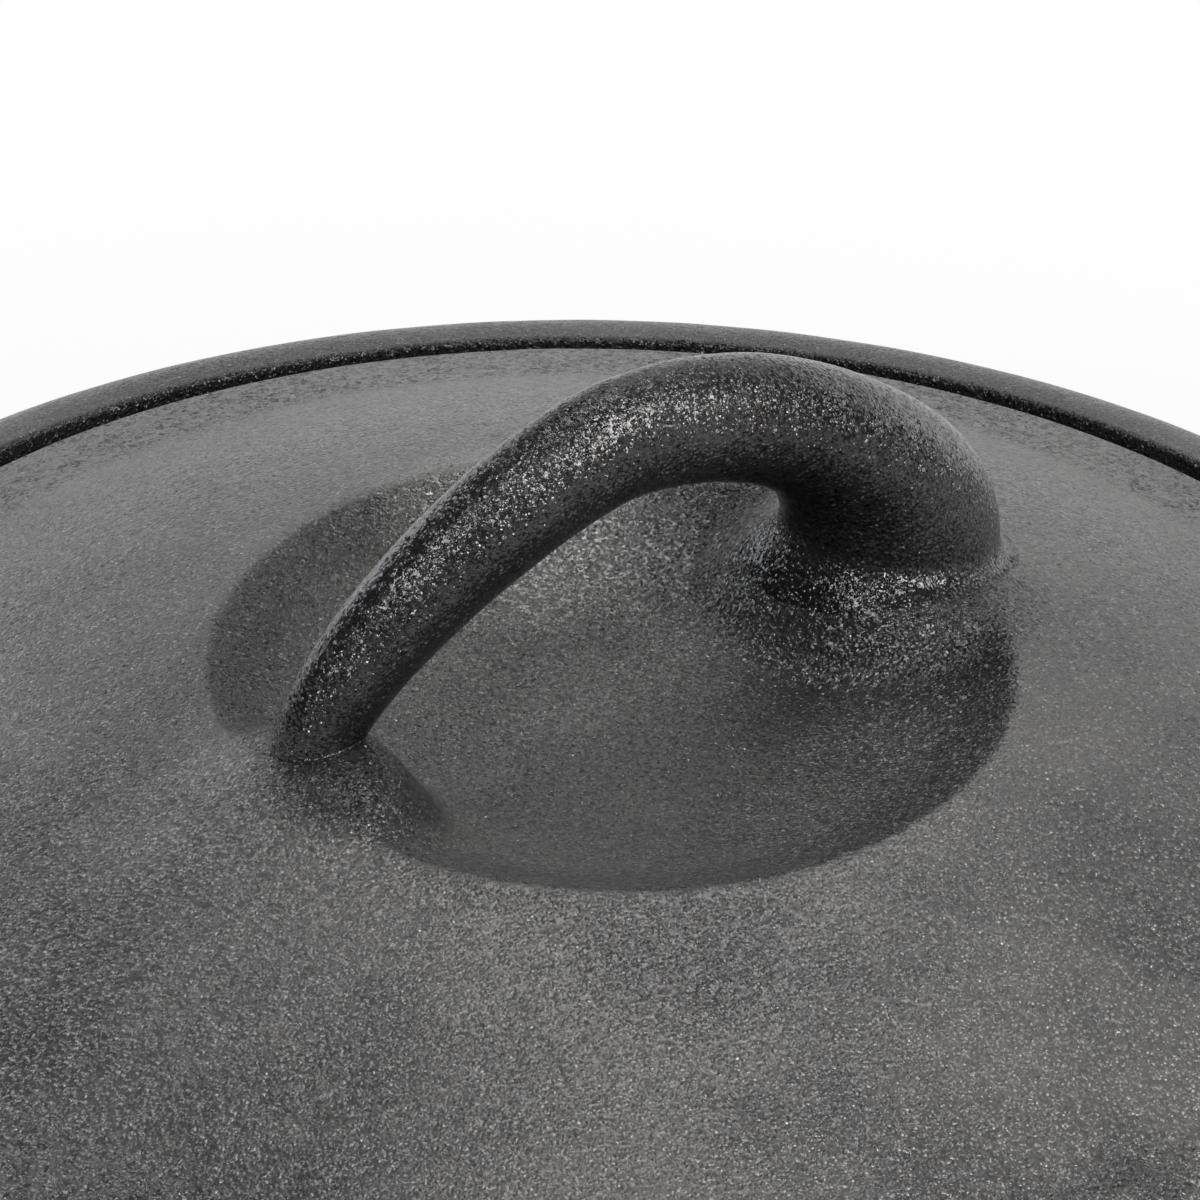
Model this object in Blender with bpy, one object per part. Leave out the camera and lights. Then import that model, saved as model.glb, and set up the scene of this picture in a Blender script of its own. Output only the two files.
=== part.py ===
"""Cast iron saucepan with a lift-off lid.

Two castings: the pan, which is one piece with its long handle, and the lid,
which is one piece with its loop handle. Sizes are millimetres in this file
and metres in the scene. The base stands on Z = 0 with the pan's axis on Z,
and the long handle points along +X.
"""

import math

import bmesh
import bpy
from mathutils import Vector

MM = 0.001

# Pan body
MOUTH_RADIUS = 94.2
PAN_HEIGHT = 89.5
BASE_THICKNESS = 5.0
WALL_THICKNESS = 4.5
WALL_DRAFT = 4.2
INNER_CORNER_RADIUS = 10.0
OUTER_CORNER_RADIUS = 15.0

# Rim ring, with the ledge that carries the lid
LEDGE_WIDTH = 5.4
LEDGE_DEPTH = 5.1
LEDGE_CHAMFER = 0.9
RIM_WIDTH = 10.9
RIM_LIP_RADIUS = 1.4
RIM_ROUND_HEIGHT = 6.5
RIM_EASE_HEIGHT = 17.0

# Long handle of the pan
HANDLE_ROOT_OFFSET = 2.3
HANDLE_ROOT_DROP = 17.0
HANDLE_LENGTH = 166.0
HANDLE_TILT_DEG = 8.0
HANDLE_ROOT_WIDTH = 37.0
HANDLE_NECK_WIDTH = 20.0
HANDLE_GRIP_WIDTH = 31.0
HANDLE_ROOT_THICKNESS = 22.0
HANDLE_GRIP_THICKNESS = 12.5
HANDLE_FLARE_LENGTH = 22.0
HANDLE_SWELL_LENGTH = 33.0
HANDLE_WIDEST_ALONG = 141.0
HANDLE_SQUARENESS = 0.75
HANDLE_END_WIDTH = 3.7
HANDLE_END_THICKNESS = 4.4
HANG_HOLE_RADIUS = 6.5
HANG_HOLE_LENGTH = 30.0
HANG_HOLE_END_GAP = 10.0

# Fit between the lid and the rim
SEAT_CLEARANCE = 0.3
RIM_SIDE_CLEARANCE = 1.0
SKIRT_CLEARANCE = 1.4

# Lid, whose heights are measured from the plane of its dish's edge
DOME_RADIUS = 198.0
DISH_EDGE_RADIUS = 41.7
DISH_FLOOR_RADIUS = 15.0
DISH_DEPTH = 6.5
RIM_BAND_WIDTH = 11.7
RIM_BAND_DROP = 3.2
LID_EDGE_RUN = 4.4
LID_EDGE_HEIGHT = 6.85
LID_EDGE_CHAMFER = 0.6
LID_THICKNESS = 4.5
SKIRT_THICKNESS = 3.2
SKIRT_DEPTH = 5.5
SKIRT_DRAFT = 0.7
SKIRT_FILLET = 2.0
UNDER_DISH_RADIUS = 13.0

# Loop handle sizes
LOOP_HALF_SPAN = 37.5
LOOP_RISE = 26.5
LOOP_SLIM_SIDE_POWER = 1.3
LOOP_STOUT_SIDE_POWER = 1.05
LOOP_CROWN_THICKNESS = 13.2
LOOP_CROWN_WIDTH = 10.6
SLIM_FOOT_THICKNESS = 9.8
SLIM_FOOT_WIDTH = 9.4
STOUT_FOOT_THICKNESS = 20.0
STOUT_FOOT_WIDTH = 21.0
STOUT_FOOT_FLARE_POWER = 6.0
STOUT_FOOT_WIDEN_POWER = 1.6
LOOP_FOOT_DEPTH = 8.0
FOOT_PAD_RADIUS = 37.0
FOOT_PAD_RISE = 4.5
SLIM_PAD_TOP_WIDTH = 8.8
SLIM_PAD_LENGTH = 34.0
SLIM_PAD_WIDTH = 40.0
STOUT_PAD_TOP_WIDTH = 18.5
STOUT_PAD_LENGTH = 38.0
STOUT_PAD_WIDTH = 46.0

# Places worked out from the sizes above
LEDGE_Z = PAN_HEIGHT - LEDGE_DEPTH
RIM_INNER_RADIUS = MOUTH_RADIUS + LEDGE_WIDTH
RIM_OUTER_RADIUS = RIM_INNER_RADIUS + RIM_WIDTH
RIM_WIDEST_Z = PAN_HEIGHT - RIM_ROUND_HEIGHT
WALL_TOP_Z = RIM_WIDEST_Z - RIM_EASE_HEIGHT
FLOOR_CORNER_Z = BASE_THICKNESS + INNER_CORNER_RADIUS
FLOOR_RADIUS = MOUTH_RADIUS - WALL_DRAFT
HANDLE_ROOT_X = MOUTH_RADIUS + HANDLE_ROOT_OFFSET
HANDLE_ROOT_Z = PAN_HEIGHT - HANDLE_ROOT_DROP
LID_EDGE_RADIUS = RIM_INNER_RADIUS - RIM_SIDE_CLEARANCE
LID_CORNER_RADIUS = LID_EDGE_RADIUS - LID_EDGE_RUN
CREASE_RADIUS = LID_CORNER_RADIUS - RIM_BAND_WIDTH
SKIRT_RADIUS = MOUTH_RADIUS - SKIRT_CLEARANCE

# Mesh fineness
TURN_STEPS = 72
ARC_STEPS = 5
RIM_STEPS = 8
DOME_STEPS = 5
DISH_STEPS = 8
HANDLE_STATIONS = 13
HANDLE_END_STATIONS = 6
LOOP_STATIONS = 33
PAD_LEVELS = 6
SECTION_POINTS = 16


def clear_scene():
    for item in list(bpy.data.objects):
        bpy.data.objects.remove(item, do_unlink=True)


def cast_iron(name, colour, roughness):
    """Seasoned cast iron: near black, half metallic, half rough."""
    material = bpy.data.materials.new(name)
    material.use_nodes = True
    shader = material.node_tree.nodes["Principled BSDF"]
    shader.inputs["Base Color"].default_value = (*colour, 1.0)
    shader.inputs["Roughness"].default_value = roughness
    shader.inputs["Metallic"].default_value = 0.6
    return material


def arc(centre_r, centre_z, radius, start_deg, end_deg, steps=ARC_STEPS):
    """Points on a round stretch of an outline, ends included."""
    points = []
    for step in range(steps + 1):
        angle = math.radians(start_deg + (end_deg - start_deg) * step / steps)
        points.append((centre_r + radius * math.cos(angle), centre_z + radius * math.sin(angle)))
    return points


def mesh_object(name, mesh, origin_z=0.0):
    item = bpy.data.objects.new(name, mesh)
    item.location = (0.0, 0.0, origin_z * MM)
    bpy.context.scene.collection.objects.link(item)
    return item


def turned(name, outline, origin_z=0.0):
    """Solid of revolution about Z from an outline that runs down its outer side."""
    mesh = bpy.data.meshes.new(name)
    points = [(radius * MM, 0.0, height * MM) for radius, height in outline]
    edges = [(index, index + 1) for index in range(len(points) - 1)]
    mesh.from_pydata(points, edges, [])
    item = mesh_object(name, mesh, origin_z)
    screw = item.modifiers.new("turn", "SCREW")
    screw.angle = math.tau
    screw.steps = TURN_STEPS
    screw.render_steps = TURN_STEPS
    screw.use_merge_vertices = True
    screw.merge_threshold = 0.00001
    screw.use_smooth_shade = True
    return item


def lofted(name, rings, origin_z=0.0):
    """Closed solid through a row of rings, each a list of points in millimetres."""
    work = bmesh.new()
    loops = []
    for ring in rings:
        loops.append([work.verts.new(Vector(point) * MM) for point in ring])
    for first, second in zip(loops, loops[1:]):
        for index in range(len(first)):
            after = (index + 1) % len(first)
            work.faces.new((first[index], first[after], second[after], second[index]))
    work.faces.new(list(reversed(loops[0])))
    work.faces.new(loops[-1])
    bmesh.ops.recalc_face_normals(work, faces=work.faces)
    mesh = bpy.data.meshes.new(name)
    work.to_mesh(mesh)
    work.free()
    mesh.shade_smooth()
    return mesh_object(name, mesh, origin_z)


def combine(item, other, operation):
    """Joins or cuts an object with a guide shape, which stays out of the build."""
    other.hide_render = True
    other.display_type = "WIRE"
    step = item.modifiers.new(operation.lower(), "BOOLEAN")
    step.operation = operation
    step.solver = "EXACT"
    step.object = other


def finish(item, material):
    smooth = item.modifiers.new("soft shading", "WEIGHTED_NORMAL")
    smooth.keep_sharp = True
    item.data.materials.append(material)


def wall_outer_radius(height):
    """Outer wall, which keeps the draft of the inner wall."""
    share = (height - FLOOR_CORNER_Z) / (LEDGE_Z - FLOOR_CORNER_Z)
    return FLOOR_RADIUS + WALL_DRAFT * share + WALL_THICKNESS


def rim_outer_side():
    """Rounded top of the rim ring, then its underside easing into the wall."""
    lip_r = RIM_INNER_RADIUS + RIM_LIP_RADIUS
    wall_r = wall_outer_radius(WALL_TOP_Z)
    points = []
    for step in range(1, RIM_STEPS + 1):
        angle = math.pi / 2.0 * (1.0 - step / RIM_STEPS)
        r = lip_r + (RIM_OUTER_RADIUS - lip_r) * math.cos(angle)
        points.append((r, RIM_WIDEST_Z + RIM_ROUND_HEIGHT * math.sin(angle)))
    for step in range(1, RIM_STEPS):
        share = step / (RIM_STEPS - 1)
        blend = 0.5 + 0.5 * math.cos(math.pi * share)
        points.append((wall_r + (RIM_OUTER_RADIUS - wall_r) * blend, RIM_WIDEST_Z - RIM_EASE_HEIGHT * share))
    return points


def pan_outline():
    """Floor, inner wall, ledge, rim ring, outer wall and base, from axis to axis."""
    corner_r = FLOOR_RADIUS - INNER_CORNER_RADIUS
    outline = [(0.0, BASE_THICKNESS)]
    outline += arc(corner_r, FLOOR_CORNER_Z, INNER_CORNER_RADIUS, -90.0, 0.0)
    outline.append((MOUTH_RADIUS, LEDGE_Z - LEDGE_CHAMFER))
    outline.append((MOUTH_RADIUS + LEDGE_CHAMFER, LEDGE_Z))
    outline.append((RIM_INNER_RADIUS - LEDGE_CHAMFER, LEDGE_Z))
    outline.append((RIM_INNER_RADIUS, LEDGE_Z + LEDGE_CHAMFER))
    lip_r = RIM_INNER_RADIUS + RIM_LIP_RADIUS
    outline += arc(lip_r, PAN_HEIGHT - RIM_LIP_RADIUS, RIM_LIP_RADIUS, 180.0, 90.0, 3)
    outline += rim_outer_side()
    foot_r = wall_outer_radius(OUTER_CORNER_RADIUS) - OUTER_CORNER_RADIUS
    outline += arc(foot_r, OUTER_CORNER_RADIUS, OUTER_CORNER_RADIUS, 0.0, -90.0)
    outline.append((0.0, 0.0))
    return outline


def handle_point(along, side, up):
    """Place on the tilted handle: distance from its root, sideways and off its mid plane."""
    tilt = math.radians(HANDLE_TILT_DEG)
    x = HANDLE_ROOT_X + along * math.cos(tilt) - up * math.sin(tilt)
    return (x, side, HANDLE_ROOT_Z + along * math.sin(tilt) + up * math.cos(tilt))


def end_round(from_end, radius, least):
    """Share of the full size left near a round end, never less than the end's own."""
    if from_end >= radius:
        return 1.0
    return max(math.sqrt(1.0 - (1.0 - from_end / radius) ** 2), least)


def handle_stations():
    """Distances along the handle, closer together at the root and the round end."""
    end_radius = HANDLE_GRIP_WIDTH / 2.0
    body_length = HANDLE_LENGTH - end_radius
    body = [body_length * step / HANDLE_STATIONS for step in range(HANDLE_STATIONS)]
    turns = [math.pi / 2.0 * step / HANDLE_END_STATIONS for step in range(HANDLE_END_STATIONS + 1)]
    return body + [body_length + end_radius * math.sin(turn) for turn in turns]


def handle_ring(along):
    """Flattened oval across the handle: wide thick root, neck, broad grip, round end."""
    root = (HANDLE_ROOT_WIDTH - HANDLE_NECK_WIDTH) * math.exp(-((along / HANDLE_FLARE_LENGTH) ** 2))
    quarter = math.pi / 2.0 * min(along / HANDLE_WIDEST_ALONG, 1.0)
    grip = (HANDLE_GRIP_WIDTH - HANDLE_NECK_WIDTH) * math.sin(quarter) ** 3
    from_end = HANDLE_LENGTH - along
    round_off = end_round(from_end, HANDLE_GRIP_WIDTH / 2.0, HANDLE_END_WIDTH / HANDLE_GRIP_WIDTH)
    half_width = (HANDLE_NECK_WIDTH + root + grip) * round_off / 2.0
    swell = math.exp(-((along / HANDLE_SWELL_LENGTH) ** 2))
    thickness = HANDLE_GRIP_THICKNESS + (HANDLE_ROOT_THICKNESS - HANDLE_GRIP_THICKNESS) * swell
    least = HANDLE_END_THICKNESS / HANDLE_GRIP_THICKNESS
    half_thick = thickness * end_round(from_end, HANDLE_GRIP_THICKNESS / 2.0, least) / 2.0
    ring = []
    for index in range(SECTION_POINTS):
        angle = math.tau * (index + 0.5) / SECTION_POINTS
        cosine = math.cos(angle)
        sine = math.sin(angle)
        side = math.copysign(abs(cosine) ** HANDLE_SQUARENESS, cosine) * half_width
        up = math.copysign(abs(sine) ** HANDLE_SQUARENESS, sine) * half_thick
        ring.append(handle_point(along, side, up))
    return ring


def hang_hole_rings():
    """Teardrop prism, round towards the handle's end and pointed towards the pan."""
    centre = HANDLE_LENGTH - HANG_HOLE_END_GAP - HANG_HOLE_RADIUS
    tip = centre + HANG_HOLE_RADIUS - HANG_HOLE_LENGTH
    touch = math.degrees(math.acos(HANG_HOLE_RADIUS / (centre - tip)))
    outline = [(tip, 0.0)]
    outline += arc(centre, 0.0, HANG_HOLE_RADIUS, 180.0 + touch, 540.0 - touch, 12)
    rings = []
    for up in (-HANDLE_GRIP_THICKNESS, HANDLE_GRIP_THICKNESS):
        rings.append([handle_point(along, side, up) for along, side in outline])
    return rings


def make_pan():
    pan = turned("pan", pan_outline())
    handle = lofted("pan_handle_shape", [handle_ring(along) for along in handle_stations()])
    hole = lofted("hang_hole_shape", hang_hole_rings())
    combine(pan, handle, "UNION")
    combine(pan, hole, "DIFFERENCE")
    finish(pan, cast_iron("pan_iron", (0.045, 0.046, 0.048), 0.55))
    return pan


def dome_height(radius):
    """Height of the lid's dome above the plane of the dish's edge."""
    edge = math.sqrt(DOME_RADIUS ** 2 - DISH_EDGE_RADIUS ** 2)
    return math.sqrt(DOME_RADIUS ** 2 - radius ** 2) - edge


def dish_height(radius):
    """Flat floor in the middle of the dish, then a bowl up to its edge."""
    run = max(radius - DISH_FLOOR_RADIUS, 0.0) / (DISH_EDGE_RADIUS - DISH_FLOOR_RADIUS)
    return DISH_DEPTH * (run * run - 1.0)


CORNER_DROP = RIM_BAND_DROP - dome_height(CREASE_RADIUS)
LID_PLANE_Z = LEDGE_Z + SEAT_CLEARANCE + LID_EDGE_HEIGHT + CORNER_DROP


def lid_top():
    """Dish from the axis, then the dome out to the crease and the corner."""
    outline = [(0.0, dish_height(0.0)), (DISH_FLOOR_RADIUS, dish_height(DISH_FLOOR_RADIUS))]
    for step in range(1, DOME_STEPS + 1):
        radius = DISH_FLOOR_RADIUS + (DISH_EDGE_RADIUS - DISH_FLOOR_RADIUS) * step / DOME_STEPS
        outline.append((radius, dish_height(radius)))
    for step in range(1, DOME_STEPS + 1):
        radius = DISH_EDGE_RADIUS + (CREASE_RADIUS - DISH_EDGE_RADIUS) * step / DOME_STEPS
        outline.append((radius, dome_height(radius)))
    outline.append((LID_CORNER_RADIUS, -CORNER_DROP))
    return outline


def lid_edge():
    """Sloping edge, flat seat and the skirt that drops inside the pan's mouth."""
    seat = LEDGE_Z + SEAT_CLEARANCE - LID_PLANE_Z
    skirt_end = seat - SKIRT_DEPTH
    drafted = SKIRT_RADIUS - SKIRT_DRAFT
    return [
        (LID_EDGE_RADIUS, seat + LID_EDGE_CHAMFER),
        (LID_EDGE_RADIUS - LID_EDGE_CHAMFER, seat),
        (SKIRT_RADIUS + LID_EDGE_CHAMFER, seat),
        (SKIRT_RADIUS, seat - LID_EDGE_CHAMFER),
        (drafted, skirt_end + LID_EDGE_CHAMFER),
        (drafted - LID_EDGE_CHAMFER, skirt_end),
        (SKIRT_RADIUS - SKIRT_THICKNESS, skirt_end),
    ]


def lid_underside():
    """Inner face of the dome and of the dish, in to the axis."""
    outer = SKIRT_RADIUS - SKIRT_THICKNESS - SKIRT_FILLET
    inner = DISH_EDGE_RADIUS + LID_THICKNESS
    outline = []
    for step in range(DOME_STEPS):
        radius = outer + (inner - outer) * step / (DOME_STEPS - 1)
        outline.append((radius, dome_height(radius) - LID_THICKNESS))
    for step in range(1, DOME_STEPS):
        radius = inner + (UNDER_DISH_RADIUS - inner) * step / (DOME_STEPS - 1)
        outline.append((radius, dish_height(min(radius, DISH_EDGE_RADIUS)) - LID_THICKNESS))
    outline.append((0.0, dish_height(0.0) - LID_THICKNESS))
    return outline


def lid_outline():
    return lid_top() + lid_edge() + lid_underside()


def loop_ring(turn):
    """Oval across the loop's bar at one turn, from 0 at the stout foot to pi."""
    cosine = math.cos(turn)
    sine = math.sin(turn)
    stout = cosine > 0.0
    power = LOOP_STOUT_SIDE_POWER if stout else LOOP_SLIM_SIDE_POWER
    share = abs(cosine)
    x = math.copysign(LOOP_HALF_SPAN * share ** power, cosine)
    z = LOOP_RISE * max(sine, 0.0) ** power
    run = -LOOP_HALF_SPAN * share ** (power - 1.0) * sine
    rise = LOOP_RISE * max(sine, 1e-6) ** (power - 1.0) * cosine
    if sine < 1e-5:
        run, rise = 0.0, cosine
    length = math.hypot(run, rise)
    out_x, out_z = rise / length, -run / length
    if stout:
        thick_gain = (STOUT_FOOT_THICKNESS - LOOP_CROWN_THICKNESS) * share ** STOUT_FOOT_FLARE_POWER
        width_gain = (STOUT_FOOT_WIDTH - LOOP_CROWN_WIDTH) * share ** STOUT_FOOT_WIDEN_POWER
    else:
        thick_gain = (SLIM_FOOT_THICKNESS - LOOP_CROWN_THICKNESS) * share ** 3
        width_gain = (SLIM_FOOT_WIDTH - LOOP_CROWN_WIDTH) * share ** 3
    half_thick = (LOOP_CROWN_THICKNESS + thick_gain) / 2.0
    half_wide = (LOOP_CROWN_WIDTH + width_gain) / 2.0
    ring = []
    for index in range(SECTION_POINTS):
        angle = math.tau * index / SECTION_POINTS
        out = half_thick * math.cos(angle)
        ring.append((x + out_x * out, half_wide * math.sin(angle), z + out_z * out))
    return ring


def loop_rings():
    """The bar's rings from foot to foot, each foot carried down into the lid."""
    turns = [math.pi * step / (LOOP_STATIONS - 1) for step in range(LOOP_STATIONS)]
    rings = [loop_ring(turn) for turn in turns]
    first = [(x, y, z - LOOP_FOOT_DEPTH) for x, y, z in rings[0]]
    last = [(x, y, z - LOOP_FOOT_DEPTH) for x, y, z in rings[-1]]
    return [first] + rings + [last]


def foot_pad_rings(side, top_width, length, width):
    """Pad under one foot, hollow sided like a casting fillet, reaching into the dish."""
    low = dish_height(0.0) - LID_THICKNESS / 2.0
    rings = []
    for level in range(PAD_LEVELS + 1):
        climb = level / PAD_LEVELS
        height = low + (FOOT_PAD_RISE - low) * climb
        spread = (1.0 - climb) ** 2
        half_long = (top_width + (length - top_width) * spread) / 2.0
        half_wide = (top_width + (width - top_width) * spread) / 2.0
        ring = []
        for index in range(SECTION_POINTS):
            angle = math.tau * index / SECTION_POINTS
            x = side * FOOT_PAD_RADIUS + half_long * math.cos(angle)
            ring.append((x, half_wide * math.sin(angle), height))
        rings.append(ring)
    return rings


def below_plate_outline():
    """Everything under the middle of the lid's plate, to trim what would hang through it."""
    reach = LOOP_HALF_SPAN + STOUT_PAD_LENGTH
    outline = []
    for step in range(DISH_STEPS + 1):
        radius = DISH_EDGE_RADIUS * step / DISH_STEPS
        outline.append((radius, dish_height(radius) - LID_THICKNESS / 2.0))
    for step in range(1, DOME_STEPS + 1):
        radius = DISH_EDGE_RADIUS + (reach - DISH_EDGE_RADIUS) * step / DOME_STEPS
        outline.append((radius, dome_height(radius) - LID_THICKNESS / 2.0))
    floor = dome_height(reach) - 2.0 * LID_THICKNESS
    return outline + [(reach, floor), (0.0, floor)]


def make_lid():
    lid = turned("lid", lid_outline(), LID_PLANE_Z)
    below = turned("below_plate_shape", below_plate_outline(), LID_PLANE_Z)
    stout_pad = foot_pad_rings(1.0, STOUT_PAD_TOP_WIDTH, STOUT_PAD_LENGTH, STOUT_PAD_WIDTH)
    slim_pad = foot_pad_rings(-1.0, SLIM_PAD_TOP_WIDTH, SLIM_PAD_LENGTH, SLIM_PAD_WIDTH)
    shapes = (("loop_shape", loop_rings()), ("stout_pad_shape", stout_pad), ("slim_pad_shape", slim_pad))
    for name, rings in shapes:
        shape = lofted(name, rings, LID_PLANE_Z)
        combine(shape, below, "DIFFERENCE")
        combine(lid, shape, "UNION")
    finish(lid, cast_iron("lid_iron", (0.05, 0.051, 0.053), 0.5))
    return lid


def main():
    clear_scene()
    make_pan()
    make_lid()


main()
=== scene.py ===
# %% [markdown]
# # A cast iron saucepan, dressed over its CAD frame
# The saucepan is two sand castings: a pan with a long handle, and a lid with a loop. The packed
# frame gives each casting's place, size and joint. This script lays a fine surface over each of
# them and gives it the look of seasoned iron.

import math

import bmesh
import bpy
import numpy as np
from mathutils import Matrix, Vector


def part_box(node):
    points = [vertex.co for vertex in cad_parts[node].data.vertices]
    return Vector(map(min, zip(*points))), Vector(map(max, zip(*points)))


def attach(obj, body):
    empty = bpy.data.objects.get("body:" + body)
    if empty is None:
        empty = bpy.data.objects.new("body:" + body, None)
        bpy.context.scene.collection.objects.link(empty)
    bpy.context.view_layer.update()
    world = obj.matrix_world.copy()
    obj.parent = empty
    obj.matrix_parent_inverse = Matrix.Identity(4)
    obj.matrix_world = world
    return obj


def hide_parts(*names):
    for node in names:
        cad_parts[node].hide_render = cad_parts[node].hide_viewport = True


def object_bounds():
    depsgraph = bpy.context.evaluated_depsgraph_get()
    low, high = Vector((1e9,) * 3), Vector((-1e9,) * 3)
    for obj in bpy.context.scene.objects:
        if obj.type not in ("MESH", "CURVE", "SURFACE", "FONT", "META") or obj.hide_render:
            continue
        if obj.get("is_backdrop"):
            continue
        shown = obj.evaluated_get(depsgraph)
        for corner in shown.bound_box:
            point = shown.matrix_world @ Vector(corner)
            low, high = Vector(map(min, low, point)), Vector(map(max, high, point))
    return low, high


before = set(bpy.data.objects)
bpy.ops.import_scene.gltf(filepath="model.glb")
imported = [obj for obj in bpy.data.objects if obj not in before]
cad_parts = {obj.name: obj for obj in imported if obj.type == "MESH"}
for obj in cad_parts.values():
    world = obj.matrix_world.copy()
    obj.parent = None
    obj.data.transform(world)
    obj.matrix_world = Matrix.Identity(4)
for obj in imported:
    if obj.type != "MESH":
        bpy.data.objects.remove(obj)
cad_low, cad_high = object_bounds()

# %% [markdown]
# ## Sizes
# The frame's boxes give the outer sizes of both castings, so a change to the CAD moves the looks
# too. The other sizes are those of the casting itself, in millimetres, because a pan is drawn in
# them. The skin stays a little inside the boxes, since the unevenness of the casting moves it
# both ways.

# %% Sizes read from the frame
MM = 0.001
SKIN_INSET = 0.04


def box_mm(node):
    """Lowest and highest corner of a node's box, in millimetres."""
    low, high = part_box(node)
    return np.array(low) / MM, np.array(high) / MM


lid_low, lid_high = box_mm("lid")
pan_high = box_mm("pan")[1]

LID_EDGE_RADIUS = lid_high[0]
SKIRT_END_Z = lid_low[2]
LOOP_TOP_Z = lid_high[2] - SKIN_INSET
RIM_OUTER_RADIUS = pan_high[1] - SKIN_INSET

print("lid edge radius", round(LID_EDGE_RADIUS, 2), "rim radius", round(RIM_OUTER_RADIUS, 2))
print("top of the loop", round(LOOP_TOP_Z, 2))

# %% Sizes of the lid
SKIRT_DEPTH = 5.5
LID_EDGE_HEIGHT = 6.85
LID_EDGE_RUN = 4.4
RIM_BAND_WIDTH = 11.7
RIM_BAND_DROP = 3.2
DOME_RADIUS = 198.0
DISH_EDGE_RADIUS = 41.7
DISH_FLOOR_RADIUS = 15.0
DISH_DEPTH = 6.5
LID_THICKNESS = 4.5
SKIRT_THICKNESS = 3.2
SEAT_WIDTH = 5.8
SKIRT_RADIUS = LID_EDGE_RADIUS - SEAT_WIDTH
LID_CORNER_RADIUS = LID_EDGE_RADIUS - LID_EDGE_RUN
CREASE_RADIUS = LID_CORNER_RADIUS - RIM_BAND_WIDTH
SEAT_Z = SKIRT_END_Z + SKIRT_DEPTH


def dome_height(radius):
    """A sphere's cap, lowered so that it passes through zero at the dish's edge."""
    at_dish_edge = math.sqrt(DOME_RADIUS ** 2 - DISH_EDGE_RADIUS ** 2)
    return np.sqrt(DOME_RADIUS ** 2 - radius ** 2) - at_dish_edge


CORNER_DROP = RIM_BAND_DROP - float(dome_height(CREASE_RADIUS))
LID_PLANE_Z = SEAT_Z + LID_EDGE_HEIGHT + CORNER_DROP
print("plane of the dish's edge", round(LID_PLANE_Z, 2), "crease radius", round(CREASE_RADIUS, 2))

# %% [markdown]
# ## From a grid of points to a mesh
# Every piece here is a function of two parameters, worked out on a grid as one numpy array. One
# helper turns such an array into a mesh: neighbouring rows are joined by quads and each row
# closes on itself. A row that shrinks to a point becomes a pole of triangles, so the surface is
# closed there too. The helper works out the enclosed volume and flips the faces if it is
# negative, so they point outwards.

# %% Which way the faces point


def faces_point_out(points, quads):
    """Sign of the volume, by the divergence theorem: sum over faces of centre dot area vector."""
    a, b, c, d = (points[quads[:, k]] for k in range(4))
    area = 0.5 * np.cross(c - a, d - b)
    return float(((a + b + c + d) * area).sum()) > 0.0


SQUARE = np.array([[0.0, 0.0, 1.0], [1.0, 0.0, 1.0], [1.0, 1.0, 1.0], [0.0, 1.0, 1.0]])
print("a square above the origin, turning left, points out:",
      faces_point_out(SQUARE, np.array([[0, 1, 2, 3]])))

# %% Grid to mesh


def weld_poles(mesh, around, count):
    """Welds the points of both end rows, so that the surface closes there."""
    work = bmesh.new()
    work.from_mesh(mesh)
    work.verts.ensure_lookup_table()
    first = work.verts[:around]
    last = work.verts[(count - 1) * around:]
    for ring in (first, last):
        bmesh.ops.pointmerge(work, verts=ring, merge_co=ring[0].co)
    work.to_mesh(mesh)
    work.free()


def skin(name, rows):
    """Mesh object from an array of shape (rows, points in a row, 3) in millimetres.

    Rows close on themselves, and each of the two end rows has shrunk to one point.
    """
    count, around = rows.shape[:2]
    points = rows.reshape(-1, 3)
    low = np.arange(count - 1)[:, None] * around
    side = np.arange(around)[None, :]
    after = (side + 1) % around
    quads = np.stack([low + side, low + after, low + around + after, low + around + side], -1)
    quads = quads.reshape(-1, 4)
    if not faces_point_out(points, quads):
        quads = quads[:, ::-1]
    mesh = bpy.data.meshes.new(name)
    mesh.vertices.add(len(points))
    mesh.vertices.foreach_set("co", (points * MM).ravel())
    mesh.loops.add(quads.size)
    mesh.loops.foreach_set("vertex_index", quads.ravel())
    mesh.polygons.add(len(quads))
    mesh.polygons.foreach_set("loop_start", np.arange(len(quads)) * 4)
    mesh.update(calc_edges=True)
    weld_poles(mesh, around, count)
    mesh.validate()
    mesh.shade_smooth()
    item = bpy.data.objects.new(name, mesh)
    bpy.context.scene.collection.objects.link(item)
    print(name, "has", len(mesh.polygons), "faces")
    return item


print("three rows of eight points give", (3 - 1) * 8, "faces")

# %% Turn an outline


def turned(outline, steps):
    """An outline of (radius, height) pairs carried round Z; rows follow the outline.

    A point is radius times cosine, radius times sine, height.
    """
    turn = np.linspace(0.0, 2.0 * np.pi, steps, endpoint=False)
    radius = outline[:, :1]
    height = np.broadcast_to(outline[:, 1:], (len(outline), steps))
    return np.stack([radius * np.cos(turn), radius * np.sin(turn), height], -1)


print("two points turned in four steps:", turned(np.array([[1.0, 0.0], [2.0, 3.0]]), 4).shape)

# %% Outlines with rounded corners
FILLET_POINTS = 7
FILLET_SIDE_SHARE = 0.49


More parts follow.
